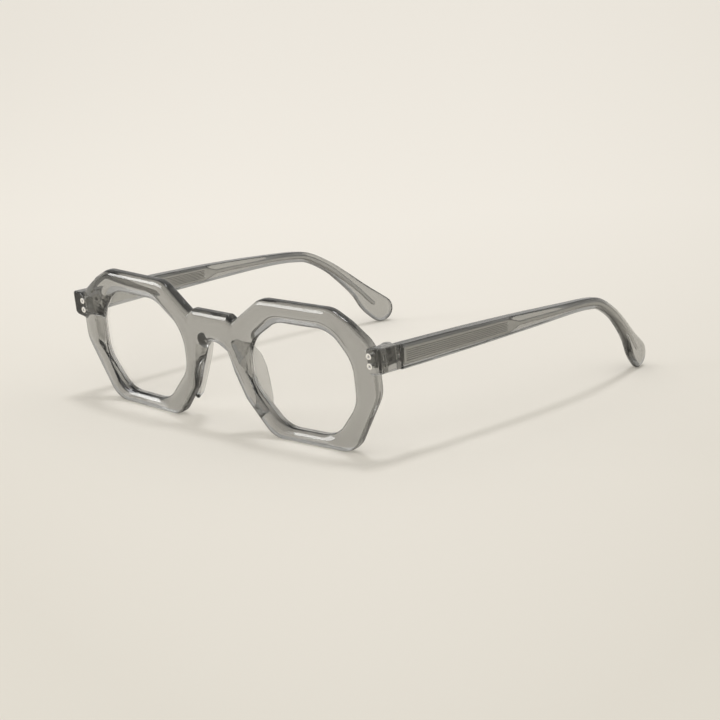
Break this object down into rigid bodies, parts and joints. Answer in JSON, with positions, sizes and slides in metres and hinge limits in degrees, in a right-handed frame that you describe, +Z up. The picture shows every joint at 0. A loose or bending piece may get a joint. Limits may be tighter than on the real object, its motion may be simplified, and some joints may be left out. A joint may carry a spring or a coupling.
{
  "type": "reading glasses",
  "caption": "Folding reading glasses with thick angular acetate rims, a keyhole bridge and cored temples on riveted barrel hinges.",
  "frame": {"origin": "on the surface the glasses stand on, below the middle of the box around the whole object with its temples open", "axes": "+X towards the wearer's left, +Y from the front back along the temples, +Z up"},
  "size_m": [0.142, 0.1491, 0.0455],
  "materials": {
    "acetate": "polished translucent grey cellulose acetate",
    "pad_acetate": "polished, lighter translucent acetate",
    "lens": "clear, polished on both faces",
    "hinge_metal": "nickel silver, satin",
    "rivet_metal": "polished rivet heads",
    "core_metal": "satin core wire with engraved lines"
  },
  "bodies": {
    "front": {"front_frame": "acetate", "lens_left": "lens", "lens_right": "lens", "nose_pad_left": "pad_acetate", "nose_pad_right": "pad_acetate", "front_hinge_leaf_left": "hinge_metal", "front_hinge_leaf_right": "hinge_metal", "front_rivets_left": "rivet_metal", "front_rivets_right": "rivet_metal", "hinge_screw_left": "hinge_metal", "hinge_screw_right": "hinge_metal"},
    "temple_left": {"temple_left": "acetate", "core_wire_left": "core_metal", "temple_hinge_leaf_left": "hinge_metal", "temple_rivets_left": "rivet_metal"},
    "temple_right": {"temple_right": "acetate", "core_wire_right": "core_metal", "temple_hinge_leaf_right": "hinge_metal", "temple_rivets_right": "rivet_metal"}
  },
  "joints": [
    {"name": "temple_left_hinge", "type": "hinge", "parent": "front", "child": "temple_left", "pos_m": [0.06425, -0.06168, 0.03211], "axis": [0, -0.1132, 0.9936], "range_deg": [0, 89]},
    {"name": "temple_right_hinge", "type": "hinge", "parent": "front", "child": "temple_right", "pos_m": [-0.06425, -0.06168, 0.03211], "axis": [0, 0.1132, -0.9936], "range_deg": [0, 81]}
  ]
}
